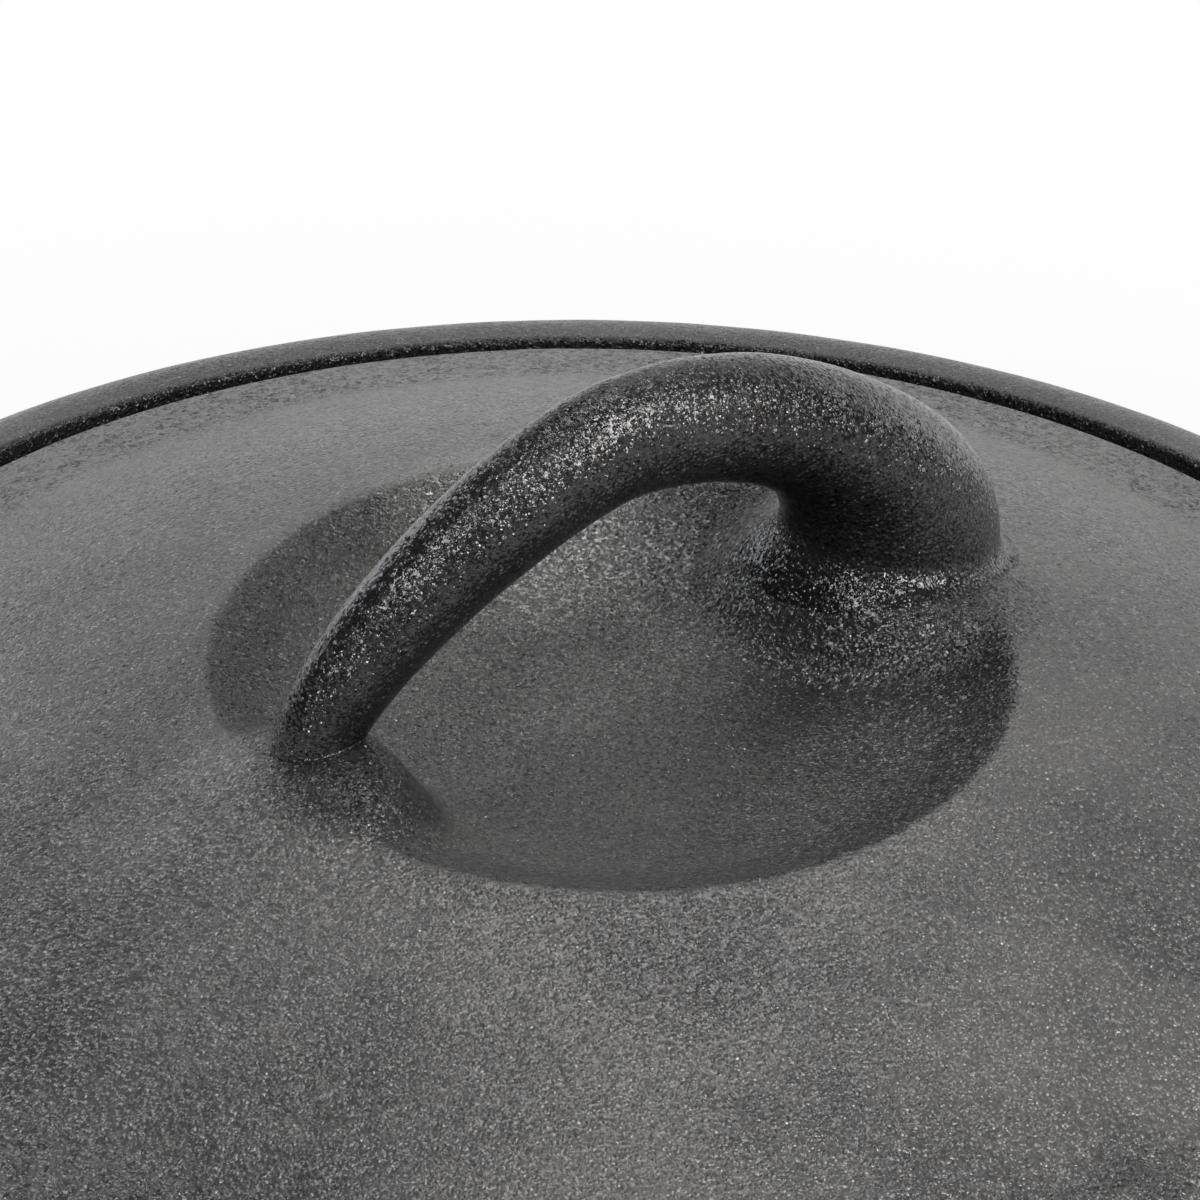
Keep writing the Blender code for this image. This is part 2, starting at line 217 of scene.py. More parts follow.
def rounded_outline(corners, spacing):
    """Polyline through (radius, height, fillet) corners, each corner rounded by its fillet.

    The curve leaves both sides at fillet / tan(half the inside angle) from the corner, and is the
    parabola that a quadratic mix of start, corner and end gives.
    """
    points = [np.array(corners[0][:2])]
    for before, corner, after in zip(corners, corners[1:], corners[2:]):
        here = np.array(corner[:2])
        back = np.array(before[:2]) - here
        ahead = np.array(after[:2]) - here
        reach = min(np.linalg.norm(back), np.linalg.norm(ahead)) * FILLET_SIDE_SHARE
        back = back / np.linalg.norm(back)
        ahead = ahead / np.linalg.norm(ahead)
        inside = math.acos(np.clip(back @ ahead, -1.0, 1.0))
        cut = min(corner[2] / max(math.tan(inside / 2.0), 1e-6), reach)
        share = np.linspace(0.0, 1.0, FILLET_POINTS)[:, None]
        start = here + back * cut
        end = here + ahead * cut
        points.extend((1 - share) ** 2 * start + 2 * share * (1 - share) * here + share ** 2 * end)
    points.append(np.array(corners[-1][:2]))
    points = np.array(points)
    lengths = np.linalg.norm(np.diff(points, axis=0), axis=1)
    pieces = np.maximum(np.ceil(lengths / spacing).astype(int), 1)
    filled = [np.linspace(a, b, n, endpoint=False) for a, b, n in zip(points, points[1:], pieces)]
    return np.concatenate(filled + [points[-1:]])


CORNER_DEMO = rounded_outline([(0.0, 0.0, 0.0), (10.0, 0.0, 2.0), (10.0, 10.0, 0.0)], 5.0)
print("one rounded corner has", len(CORNER_DEMO), "points")

# %% [markdown]
# ## The uneven skin of a sand casting
# Iron poured into sand never comes out true: the faces wander by hundredths of a millimetre over
# a few millimetres. A texture could fake that, but then the mesh itself would be too perfect. A
# sum of sine waves in random directions is smooth, cheap and the same on every run, and because
# it is a function of place alone, two pieces that meet get the same waves where they touch.

# %% Cast waves
WAVE_COUNT = 28


def cast_waves(points, wavelength, seed):
    """Sum of sine waves of about one wavelength in random directions, scaled to unit spread."""
    draw = np.random.default_rng(seed)
    ways = draw.normal(size=(3, WAVE_COUNT))
    ways /= np.linalg.norm(ways, axis=0)
    ways /= wavelength * draw.uniform(0.7, 1.6, WAVE_COUNT)
    phases = draw.uniform(0.0, 2.0 * np.pi, WAVE_COUNT)
    return np.sin(2.0 * np.pi * (points @ ways) + phases).sum(-1) / math.sqrt(WAVE_COUNT / 2.0)


print("waves at the origin:", round(float(cast_waves(np.zeros(3), 9.0, 3)), 3))

# %% Move a grid along its own normals
CAST_WAVE_HEIGHT = 0.012
CAST_WAVE_LENGTH = 9.0
CAST_WAVE_SEED = 3


def lumpy(rows):
    """Grid moved along its normals by the waves; a normal is the cross product of two slopes."""
    across = np.roll(rows, -1, 1) - np.roll(rows, 1, 1)
    along = np.gradient(rows, axis=0)
    normal = np.cross(across, along)
    length = np.linalg.norm(normal, axis=-1, keepdims=True)
    normal = normal / np.maximum(length, 1e-9)
    waves = CAST_WAVE_HEIGHT * cast_waves(rows, CAST_WAVE_LENGTH, CAST_WAVE_SEED)
    return rows + normal * waves[..., None]


print("cast waves are", CAST_WAVE_HEIGHT, "mm high and", CAST_WAVE_LENGTH, "mm long")

# %% [markdown]
# ## The lid's upper face
# The upper face is a height over each point of the plan: a shallow dome, a bowl-shaped dish in
# its middle and a flatter band outside a soft crease. Where dome and dish cross, the lower one is
# the iron, and a smooth minimum rounds the edge as the sand did. Under each foot of the loop a
# tongue of the dome reaches into the dish to carry it. A tongue's four numbers are its length,
# its width, and the shares of them that its flat top and its wall take up.

# %% Height of the lid's upper face
DISH_EDGE_BLEND = 0.9
CREASE_BLEND = 0.35
SLIM_TONGUE = (12.6, 12.5, 0.7, 0.75)
STOUT_TONGUE = (17.2, 15.6, 0.9, 0.55)
SLIM_SWELL = 2.7
STOUT_SWELL = 0.6
FOOT_SWELL_PLACE = 38.5
FOOT_SWELL_REACH = 11.0
BAND_SEARCH_RADIUS = 0.8 * CREASE_RADIUS


def smooth_min(a, b, blend):
    """The lower of two heights, rounded over where they differ by less than the blend."""
    share = np.clip(0.5 + 0.5 * (b - a) / blend, 0.0, 1.0)
    return b + (a - b) * share - blend * share * (1.0 - share)


def dish_height(radius):
    """Flat floor, then a parabola up to zero at the dish's edge and on beyond it."""
    run = np.maximum(radius - DISH_FLOOR_RADIUS, 0.0) / (DISH_EDGE_RADIUS - DISH_FLOOR_RADIUS)
    return DISH_DEPTH * (run ** 2 - 1.0)


def tongue_share(x, y):
    """One inside an ellipse at the dish's edge, then half a cosine wave down to nothing."""
    length, width, top, wall = (np.where(x > 0.0, a, b) for a, b in zip(STOUT_TONGUE, SLIM_TONGUE))
    spread = np.hypot((np.abs(x) - DISH_EDGE_RADIUS) / length, y / width)
    share = np.clip((spread - top) / wall, 0.0, 1.0)
    return 0.5 + 0.5 * np.cos(np.pi * share)


def foot_swell(x, y):
    """Bell curve about each foot, higher at the slim one."""
    away = np.hypot(np.abs(x) - FOOT_SWELL_PLACE, y) / FOOT_SWELL_REACH
    return np.where(x > 0.0, STOUT_SWELL, SLIM_SWELL) * np.exp(-away ** 2)


def lid_top(x, y):
    """Height above the dish's edge: the lower of dome and dish, mixed to the dome by the tongues.

    Outside the crease the dome is replaced by the band, a cone, where the cone is higher.
    """
    radius = np.hypot(x, y)
    dome = dome_height(np.minimum(radius, LID_EDGE_RADIUS)) + foot_swell(x, y)
    band = -CORNER_DROP + (LID_CORNER_RADIUS - radius) * RIM_BAND_DROP / RIM_BAND_WIDTH
    dome = np.where(radius > BAND_SEARCH_RADIUS, -smooth_min(-dome, -band, CREASE_BLEND), dome)
    open_lid = smooth_min(dome, dish_height(radius), DISH_EDGE_BLEND)
    return open_lid + (dome - open_lid) * tongue_share(x, y)


print("dish floor", float(lid_top(0.0, 0.0)), "crease", float(lid_top(CREASE_RADIUS, 0.0)))

# %% [markdown]
# ## The lid's plate
# The plate is one closed surface: the upper face, the sloping edge, the flat seat, the skirt and
# the underside. Its rows are circles of growing and then shrinking radius, packed closer at the
# dish's edge and at the crease, where the shape turns fastest.

# %% Rows and outline of the lid's plate
LID_STEPS = 416
TOP_END_RADIUS = LID_CORNER_RADIUS - 0.5
BAND_ROWS_RADIUS = CREASE_RADIUS - 3.0
TOP_ROWS = ((0.0, 20.0, 16), (20.0, 50.0, 58), (50.0, BAND_ROWS_RADIUS, 26))
BAND_ROWS = 24
SEAT_CHAMFER = 0.9
SKIRT_DRAFT = 0.7
UNDER_ROWS = 44
UNDER_BLEND = 6.0


def top_radii():
    """Radii of the upper face's rows, about 0.5 mm apart at the dish's edge and the crease."""
    inner = [np.linspace(start, end, rows, endpoint=False) for start, end, rows in TOP_ROWS]
    band = np.linspace(BAND_ROWS_RADIUS, TOP_END_RADIUS, BAND_ROWS)
    return np.concatenate([*inner, band])


def dome_from_below(radius):
    """The dome, lowered by the lid's thickness."""
    return float(dome_height(radius)) - LID_THICKNESS


def lid_underside_outline():
    """Edge, seat and skirt as rounded corners, then the dome and the dish from below as points.

    From below the smooth minimum of dome and dish is the same as above, one thickness lower, and
    the dish's wall is moved out by a thickness.
    """
    seat = SEAT_Z - LID_PLANE_Z
    skirt_end = seat - SKIRT_DEPTH
    inner_skirt = SKIRT_RADIUS - SKIRT_THICKNESS
    start = TOP_END_RADIUS
    edge = rounded_outline([
        (start, float(lid_top(start, 0.0)), 0.0),
        (LID_CORNER_RADIUS, -CORNER_DROP, 0.5),
        (LID_EDGE_RADIUS, seat + 0.5, 0.6),
        (LID_EDGE_RADIUS - SEAT_CHAMFER, seat, 0.4),
        (SKIRT_RADIUS, seat, 0.5),
        (SKIRT_RADIUS - SKIRT_DRAFT, skirt_end, 0.8),
        (inner_skirt, skirt_end, 0.8),
        (inner_skirt - 1.2, dome_from_below(inner_skirt), 2.5),
        (inner_skirt - 4.0, dome_from_below(inner_skirt - 4.0), 0.0),
    ], 2.0)
    radius = np.linspace(inner_skirt - 6.0, 0.0, UNDER_ROWS)
    under = smooth_min(dome_height(radius), dish_height(radius - LID_THICKNESS), UNDER_BLEND)
    return np.concatenate([edge, np.stack([radius, under - LID_THICKNESS], -1)])


print("rows of the upper face:", len(top_radii()))

# %% Build the lid's plate


def pinched(rows):
    """The same grid with its first and last row drawn together to one point each."""
    rows[0] = rows[0].mean(0)
    rows[-1] = rows[-1].mean(0)
    return rows


def make_lid_plate():
    """Circles of the upper face at the lid's height, then the turned underside."""
    radii = top_radii()
    flat = np.stack([radii, np.zeros_like(radii)], -1)
    upper = turned(flat, LID_STEPS)
    upper[..., 2] = lid_top(upper[..., 0], upper[..., 1])
    lower = turned(lid_underside_outline()[1:], LID_STEPS)
    rows = np.concatenate([upper, lower])
    rows[..., 2] += LID_PLANE_Z
    rows = lumpy(rows)
    return skin("lid_plate", pinched(rows))


lid_plate = make_lid_plate()

# %% [markdown]
# ## The loop handle
# The loop is a bar that springs from a stout foot, arches over the dish and comes down to a
# slimmer foot. Its centre line is two quarter superellipses, and the section is an oval whose
# width and thickness change along the way. The bar's lines are followed down until they are near
# the lid, and there they turn outwards along a quarter circle, which is the fillet of the
# casting. The last rows slip just under the lid's face, so no seam shows.

# %% Centre line and section of the loop
LOOP_HALF_SPAN = 37.5
LOOP_STOUT_POWER = 1.05
LOOP_SLIM_POWER = 1.3
CROWN_THICKNESS = 13.2
CROWN_WIDTH = 10.6
SLIM_THICKNESS = 8.9
SLIM_WIDTH = 8.2
SLIM_SHIFT = (0.8, 3.0)
STOUT_THICKNESS = 20.0
STOUT_WIDTH = 21.0
STOUT_FLARE_POWER = 6.0
STOUT_WIDEN_POWER = 1.6
STOUT_INNER_FLARE = 0.3
STOUT_OUTER_FLARE = 0.3
STOUT_INNER_FLARE_POWER = 5
STOUT_OUTER_FLARE_POWER = 8
SLIM_POWER = 3
FOOT_DEPTH = 9.0
BURIED_TURN = 0.2
LOOP_RISE = LOOP_TOP_Z - LID_PLANE_Z - CROWN_THICKNESS / 2.0
print("loop rises", round(LOOP_RISE, 2), "over the dish's edge to the bar's middle")


def loop_centre(turn):
    """Superellipse at turns from 0 at the stout foot to pi at the slim one, then straight down."""
    inside = np.clip(turn, 0.0, np.pi)
    cosine = np.cos(inside)
    sine = np.maximum(np.sin(inside), 0.0)
    power = np.where(cosine > 0.0, LOOP_STOUT_POWER, LOOP_SLIM_POWER)
    x = LOOP_HALF_SPAN * np.sign(cosine) * np.abs(cosine) ** power
    beyond = np.maximum(-turn, 0.0) + np.maximum(turn - np.pi, 0.0)
    z = LOOP_RISE * sine ** power - FOOT_DEPTH * beyond / BURIED_TURN
    return np.stack([x, z], -1)


def loop_section(turn):
    """Half thickness and width: the crown's plus a share by a power of cosine towards a foot."""
    cosine = np.cos(np.clip(turn, 0.0, np.pi))
    share = np.abs(cosine)
    stout = cosine > 0.0
    stout_thick = (STOUT_THICKNESS - CROWN_THICKNESS) * share ** STOUT_FLARE_POWER
    stout_wide = (STOUT_WIDTH - CROWN_WIDTH) * share ** STOUT_WIDEN_POWER
    slim_thick = (SLIM_THICKNESS - CROWN_THICKNESS) * share ** SLIM_POWER
    slim_wide = (SLIM_WIDTH - CROWN_WIDTH) * share ** SLIM_POWER
    thickness = CROWN_THICKNESS + np.where(stout, stout_thick, slim_thick)
    width = CROWN_WIDTH + np.where(stout, stout_wide, slim_wide)
    return thickness / 2.0, width / 2.0


print("half thickness and width at the stout foot:", [float(half) for half in loop_section(0.0)])

# %% Skin of the loop's bar


def loop_point(turn, angle):
    """Point of the bar's skin: centre + out * half thickness * cos + sideways * half width * sin.

    The stout foot flares inwards and outwards by powers of the turn's cosine, and the slim foot
    stands a little off the line, as in the photograph.
    """
    step = 1e-4
    centre = loop_centre(turn)
    along = loop_centre(turn + step) - loop_centre(turn - step)
    along /= np.linalg.norm(along, axis=-1, keepdims=True)
    half_thick, half_wide = loop_section(turn)
    cosine = np.cos(np.clip(turn, 0.0, np.pi))
    to_stout = np.maximum(cosine, 0.0)
    inner_side = 0.5 - 0.5 * np.cos(angle)
    outer_side = 0.5 + 0.5 * np.cos(angle)
    flare = STOUT_INNER_FLARE * to_stout ** STOUT_INNER_FLARE_POWER * inner_side
    flare = flare + STOUT_OUTER_FLARE * to_stout ** STOUT_OUTER_FLARE_POWER * outer_side
    shift = np.maximum(-cosine, 0.0) ** SLIM_POWER
    out = half_thick * np.cos(angle) * (1.0 + flare)
    x = centre[..., 0] + along[..., 1] * out + SLIM_SHIFT[0] * shift
    y = half_wide * np.sin(angle) + SLIM_SHIFT[1] * shift
    z = centre[..., 1] - along[..., 0] * out
    return np.stack([x, y, z], -1)


print("crown of the loop over the dish's edge:", round(float(loop_point(np.pi / 2.0, 0.0)[2]), 2))

# %% Where the bar meets the lid


def lid_height(points):
    """Height above the lid's upper face."""
    return points[..., 2] - lid_top(points[..., 0], points[..., 1])


def settle_on_lid(points, height):
    """Moves points straight up or down until they are this high above the lid's upper face."""
    level = lid_top(points[..., 0], points[..., 1]) + height
    return np.stack([points[..., 0], points[..., 1], level], -1)


print("lid under the slim foot:", round(float(lid_top(-LOOP_HALF_SPAN, 0.0)), 2))

# %% Rows from a bar out over the ground that it stands on
SEARCH_STEPS = 400
FILLET_ROWS = 14
SUNK_ROWS = ((0.5, 0.15), (1.0, 0.6))
SUNK_MIDDLE = 1.6


def turns_at_heights(line_point, free_end, ground_end, angle, heights, height_over):
    """For every line of a bar, where along it each height over the ground is reached.

    The heights are worked out at even steps, and a straight line is drawn between the two nearest.
    """
    turns = np.linspace(free_end, ground_end, SEARCH_STEPS)
    above = height_over(line_point(turns[:, None], angle[None, :]))
    found = []
    for height in heights:
        low = np.clip((above < height[None, :]).argmax(0), 1, SEARCH_STEPS - 1)
        before = np.take_along_axis(above, low[None, :] - 1, 0)[0]
        after = np.take_along_axis(above, low[None, :], 0)[0]
        share = np.clip((before - height) / np.maximum(before - after, 1e-6), 0.0, 1.0)
        found.append(turns[low - 1] + (turns[low] - turns[low - 1]) * share)
    return np.array(found)


def foot_rows(line_point, free_end, ground_end, angle, fillet, axis, height_over, settle):
    """Rows from a bar out over the ground it stands on, and then just under it to a middle point.

    Along a quarter circle a point moves out by 1 - cosine and down by 1 - sine of the turn, times
    the fillet's radius.
    """
    sweep = np.linspace(0.0, np.pi / 2.0, FILLET_ROWS)[:, None]
    heights = fillet * (1.0 - np.sin(sweep))
    outs = fillet * (1.0 - np.cos(sweep))
    turns = turns_at_heights(line_point, free_end, ground_end, angle, heights, height_over)
    leg = line_point(turns, angle[None, :])
    sunk_outs = [fillet + out for out, depth in SUNK_ROWS] + [0.0 * fillet]
    sunk_heights = [0.0 * fillet - depth for out, depth in SUNK_ROWS] + [0.0 * fillet - SUNK_MIDDLE]
    leg = np.concatenate([leg] + [leg[-1:]] * len(sunk_outs))
    outs = np.concatenate([outs, sunk_outs])
    heights = np.concatenate([heights, sunk_heights])
    away = leg - leg.mean(1, keepdims=True)
    away -= (away @ np.array(axis))[..., None] * np.array(axis)
    away /= np.linalg.norm(away, axis=-1, keepdims=True)
    rows = settle(leg + away * outs[..., None], heights)
    return turns[0], rows


print("rows in a foot:", FILLET_ROWS + len(SUNK_ROWS) + 1)

# %% Build the loop
LOOP_ROWS = 300
LOOP_AROUND = 112
SLIM_FILLET = (0.2, 0.4)
STOUT_FILLET = (2.0, 3.2)


def loop_foot(angle, end_turn, fillet):
    """Rows of one foot, whose fillet grows from the first radius outside to the second inside."""
    crown = np.pi / 2.0
    up = (0.0, 0.0, 1.0)
    radius = fillet[0] + (fillet[1] - fillet[0]) * (0.5 - 0.5 * np.cos(angle))
    return foot_rows(loop_point, crown, end_turn, angle, radius, up, lid_height, settle_on_lid)


def make_loop():
    """The stout foot's rows, the bar between the two feet's fillets, and the slim foot's rows."""
    angle = np.linspace(0.0, 2.0 * np.pi, LOOP_AROUND, endpoint=False)
    stout_turns, stout = loop_foot(angle, -BURIED_TURN, STOUT_FILLET)
    slim_turns, slim = loop_foot(angle, np.pi + BURIED_TURN, SLIM_FILLET)
    share = np.linspace(0.0, 1.0, LOOP_ROWS)[1:-1, None]
    turns = stout_turns * (1.0 - share) + slim_turns * share
    bar = loop_point(turns, angle[None, :])
    rows = np.concatenate([stout[::-1], bar, slim])
    rows[..., 2] += LID_PLANE_Z
    rows = lumpy(rows)
    return skin("lid_loop", pinched(rows))


lid_loop = make_loop()

# %% [markdown]
# ## The pan
# The pan is a solid of revolution: a floor, a drafted wall, a ledge that carries the lid and a
# heavy rounded rim. Turned work like this is easiest as one outline, drawn once and carried round
# the axis, because every radius in it can be read off and changed alone.

# %% Sizes of the pan
LEDGE_DEPTH = 5.1
LEDGE_WIDTH = 5.7
RIM_WIDTH = 10.6
RIM_LIP_RADIUS = 1.5
RIM_ROUND_HEIGHT = 6.5
RIM_EASE_HEIGHT = 17.0
BASE_THICKNESS = 5.0
WALL_THICKNESS = 4.5
WALL_DRAFT = 4.2
INNER_CORNER = 10.0
OUTER_CORNER = 15.0
SEAT_CLEARANCE = 0.3
LEDGE_Z = SEAT_Z - SEAT_CLEARANCE
PAN_HEIGHT = LEDGE_Z + LEDGE_DEPTH
MOUTH_RADIUS = RIM_OUTER_RADIUS - RIM_WIDTH - LEDGE_WIDTH
RIM_INNER_RADIUS = RIM_OUTER_RADIUS - RIM_WIDTH
FLOOR_RADIUS = MOUTH_RADIUS - WALL_DRAFT
print("pan height", round(PAN_HEIGHT, 2), "mouth radius", round(MOUTH_RADIUS, 2))

# %% Curves of the pan's outside
RIM_CURVE_POINTS = 22
LIP_RADIUS = RIM_INNER_RADIUS + RIM_LIP_RADIUS


def wall_radius(height):
    """Outer wall: the floor's radius, plus the draft's share of the height, plus the wall."""
    corner = BASE_THICKNESS + INNER_CORNER
    return FLOOR_RADIUS + WALL_DRAFT * (height - corner) / (LEDGE_Z - corner) + WALL_THICKNESS


def rim_outside():
    """Quarter ellipse from the lip to the widest point, then half a cosine wave in to the wall."""
    widest_z = PAN_HEIGHT - RIM_ROUND_HEIGHT
    turn = np.linspace(0.0, np.pi / 2.0, RIM_CURVE_POINTS)[1:]
    over_radius = LIP_RADIUS + (RIM_OUTER_RADIUS - LIP_RADIUS) * np.sin(turn)
    over = np.stack([over_radius, widest_z + RIM_ROUND_HEIGHT * np.cos(turn)], -1)
    share = np.linspace(0.0, 1.0, RIM_CURVE_POINTS)[1:]
    wall = wall_radius(widest_z - RIM_EASE_HEIGHT)
    under_radius = wall + (RIM_OUTER_RADIUS - wall) * (0.5 + 0.5 * np.cos(np.pi * share))
    under = np.stack([under_radius, widest_z - RIM_EASE_HEIGHT * share], -1)
    return np.concatenate([over, under])


print("points in the rim's outside:", len(rim_outside()))

# %% Outline of the pan


def pan_outline():
    """Floor, inner wall, ledge and lip, then the rim's outside, the outer wall and the base."""
    inside = rounded_outline([
        (0.0, BASE_THICKNESS, 0.0),
        (FLOOR_RADIUS, BASE_THICKNESS, INNER_CORNER),
        (MOUTH_RADIUS, LEDGE_Z, 0.9),
        (RIM_INNER_RADIUS, LEDGE_Z, 0.7),
        (RIM_INNER_RADIUS, PAN_HEIGHT, RIM_LIP_RADIUS),
        (LIP_RADIUS, PAN_HEIGHT, 0.0),
    ], 3.0)
    outside = rim_outside()
    low = rounded_outline([
        tuple(outside[-1]) + (0.0,),
        (wall_radius(0.0), 0.0, OUTER_CORNER),
        (0.0, 0.0, 0.0),
    ], 3.5)
    return np.concatenate([inside, outside, low[1:]])


print("points in the pan's outline:", len(pan_outline()))

# %% Turn the pan's body
PAN_STEPS = 448


def make_pan_body():
    """The outline carried round the axis, with its waves cut off at the level that it stands on."""
    rows = turned(pan_outline(), PAN_STEPS)
    rows = lumpy(rows)
    rows[..., 2] = np.maximum(rows[..., 2], 0.0)
    return skin("pan_body", pinched(rows))


pan_body = make_pan_body()

# %% [markdown]
# ## The long handle
# The photograph stops short of the handle, so it follows the solid: a flattened oval that is wide
# and thick where it leaves the rim, narrows to a neck and widens again to a grip with a round
# end. It meets the wall through the same fillet as the loop meets the lid.

# %% Lines of the long handle
HANDLE_ROOT_X = MOUTH_RADIUS + 2.3
HANDLE_ROOT_Z = PAN_HEIGHT - 17.0
HANDLE_LENGTH = 166.0
HANDLE_TILT = math.radians(8.0)
HANDLE_ROOT_WIDTH = 37.0
HANDLE_NECK_WIDTH = 20.0
HANDLE_GRIP_WIDTH = 31.0
HANDLE_ROOT_THICKNESS = 22.0
HANDLE_GRIP_THICKNESS = 12.5
HANDLE_FLARE_LENGTH = 22.0
HANDLE_SWELL_LENGTH = 33.0
HANDLE_WIDEST_ALONG = 141.0
HANDLE_SQUARENESS = 0.75
HANDLE_GRIP_POWER = 3
print("handle leaves the pan at height", round(HANDLE_ROOT_Z, 2))


def end_round(from_end, radius):
    """Share of full size left near a round end: a quarter circle's height at that distance."""
    inside = np.clip(1.0 - from_end / radius, 0.0, 1.0)
    return np.sqrt(1.0 - inside ** 2)


def handle_place(along, side, up):
    """Along the tilted handle from its root, sideways, and off its middle plane."""
    x = HANDLE_ROOT_X + along * math.cos(HANDLE_TILT) - up * math.sin(HANDLE_TILT)
    z = HANDLE_ROOT_Z + along * math.sin(HANDLE_TILT) + up * math.cos(HANDLE_TILT)
    return np.stack(np.broadcast_arrays(x, side, z), -1)


def handle_point(along, angle):
    """Superellipse whose width is a neck, a bell curve at the root and a cubed sine to the grip."""
    root = (HANDLE_ROOT_WIDTH - HANDLE_NECK_WIDTH) * np.exp(-(along / HANDLE_FLARE_LENGTH) ** 2)
    quarter = np.pi / 2.0 * np.clip(along / HANDLE_WIDEST_ALONG, 0.0, 1.0)
    grip = (HANDLE_GRIP_WIDTH - HANDLE_NECK_WIDTH) * np.sin(quarter) ** HANDLE_GRIP_POWER
    width = HANDLE_NECK_WIDTH + root + grip
    from_end = HANDLE_LENGTH - along
    half_wide = width / 2.0 * end_round(from_end, HANDLE_GRIP_WIDTH / 2.0)
    swell = np.exp(-(along / HANDLE_SWELL_LENGTH) ** 2)
    thickness = HANDLE_GRIP_THICKNESS + (HANDLE_ROOT_THICKNESS - HANDLE_GRIP_THICKNESS) * swell
    half_thick = thickness / 2.0 * end_round(from_end, HANDLE_GRIP_THICKNESS / 2.0)
    cosine = np.cos(angle)
    sine = np.sin(angle)
    side = np.sign(cosine) * np.abs(cosine) ** HANDLE_SQUARENESS * half_wide
    up = np.sign(sine) * np.abs(sine) ** HANDLE_SQUARENESS * half_thick
    return handle_place(along, side, up)


# %% Where the handle meets the wall
WALL_LINE = pan_outline()[::-1]
WALL_LINE = WALL_LINE[np.argmax(WALL_LINE[:, 1] > OUTER_CORNER):]
WALL_LINE = WALL_LINE[:np.argmax(WALL_LINE[:, 1])]
print("wall from height", round(float(WALL_LINE[0, 1]), 2), "to", round(float(WALL_LINE[-1, 1]), 2))


def outside_radius(points):
    """Radius of the pan's outside at the points' heights, read off its outline."""
    return np.interp(points[..., 2], WALL_LINE[:, 1], WALL_LINE[:, 0])


def wall_height(points):
    """Distance outside the pan's turned wall, measured level."""
    return np.hypot(points[..., 0], points[..., 1]) - outside_radius(points)


def settle_on_wall(points, height):
    """Moves points level, along their radius, until they are this far outside the wall."""
    share = (outside_radius(points) + height) / np.hypot(points[..., 0], points[..., 1])
    return points * np.stack([share, share, np.ones_like(share)], -1)


ROOT = np.array([HANDLE_ROOT_X, 0.0, HANDLE_ROOT_Z])
print("the handle's line starts", round(-float(wall_height(ROOT)), 2), "mm inside the wall")

# %% Build the handle
HANDLE_AROUND = 128
HANDLE_ROWS = 240
HANDLE_FILLET = 5.0
HANDLE_FREE_ALONG = 60.0
HANDLE_BURIED_ALONG = -12.0


def make_handle():
    """Rows from inside the wall over the fillet, then along the handle, closer at its end."""
    angle = np.linspace(0.0, 2.0 * np.pi, HANDLE_AROUND, endpoint=False) + np.pi / HANDLE_AROUND
    ahead = (math.cos(HANDLE_TILT), 0.0, math.sin(HANDLE_TILT))
    fillet = np.full(HANDLE_AROUND, HANDLE_FILLET)
    starts, root = foot_rows(handle_point, HANDLE_FREE_ALONG, HANDLE_BURIED_ALONG, angle, fillet,
                             ahead, wall_height, settle_on_wall)
    share = np.sin(np.linspace(0.0, np.pi / 2.0, HANDLE_ROWS))[1:, None]
    along = starts * (1.0 - share) + HANDLE_LENGTH * share
    body = handle_point(along, angle[None, :])
    rows = lumpy(np.concatenate([root[::-1], body]))
    return skin("pan_handle", pinched(rows))


pan_handle = make_handle()

# %% [markdown]
# ## The hang hole
# Moulders round the mouth of a cored hole, so the cutter flares at both faces of the handle. The
# hole's outline is the loop of string round a large and a small circle. The cutter's rows are
# copies of it, spread by the height of a quarter circle near each face.

# %% Cut the hang hole
HOLE_RADIUS = 6.5
HOLE_LENGTH = 30.0
HOLE_END_GAP = 10.0
HOLE_TIP_RADIUS = 1.2
HOLE_FLARE = 1.6
HOLE_AROUND = 96
HOLE_ROWS = 41
CUTTER_OVERHANG = 2.0


def hole_cutter():
    """String round two circles: the farther of the two circles' points in each direction."""
    centre = HANDLE_LENGTH - HOLE_END_GAP - HOLE_RADIUS
    tip = centre + HOLE_RADIUS - HOLE_LENGTH + HOLE_TIP_RADIUS
    way = np.linspace(0.0, 2.0 * np.pi, HOLE_AROUND, endpoint=False)
    big = centre * np.cos(way) + HOLE_RADIUS > tip * np.cos(way) + HOLE_TIP_RADIUS
    middle = np.where(big, centre, tip)
    radius = np.where(big, HOLE_RADIUS, HOLE_TIP_RADIUS)
    half = HANDLE_GRIP_THICKNESS / 2.0
    inside = np.linspace(-half, half, HOLE_ROWS)
    up = np.concatenate([[-half - CUTTER_OVERHANG], inside, [half + CUTTER_OVERHANG]])
    depth = np.clip((np.abs(up) - half + HOLE_FLARE) / HOLE_FLARE, 0.0, 1.0)
    spread = HOLE_FLARE * (1.0 - np.sqrt(1.0 - depth ** 2))
    reach = radius[None, :] + spread[:, None]
    rows = handle_place(middle + reach * np.cos(way), reach * np.sin(way), up[:, None])
    return skin("hang_hole_cutter", pinched(np.concatenate([rows[:1], rows, rows[-1:]])))


def cut(item, cutter):
    """Exact difference, applied at once so that the cutter can be removed."""
    step = item.modifiers.new("hang hole", "BOOLEAN")
    step.operation = "DIFFERENCE"
    step.solver = "EXACT"
    step.object = cutter
    graph = bpy.context.evaluated_depsgraph_get()
    mesh = bpy.data.meshes.new_from_object(item.evaluated_get(graph))
    item.modifiers.clear()
    old = item.data
    item.data = mesh
    bpy.data.meshes.remove(old)
    bpy.data.objects.remove(cutter, do_unlink=True)
    print(item.name, "has", len(mesh.polygons), "faces after the cut")


cut(pan_handle, hole_cutter())

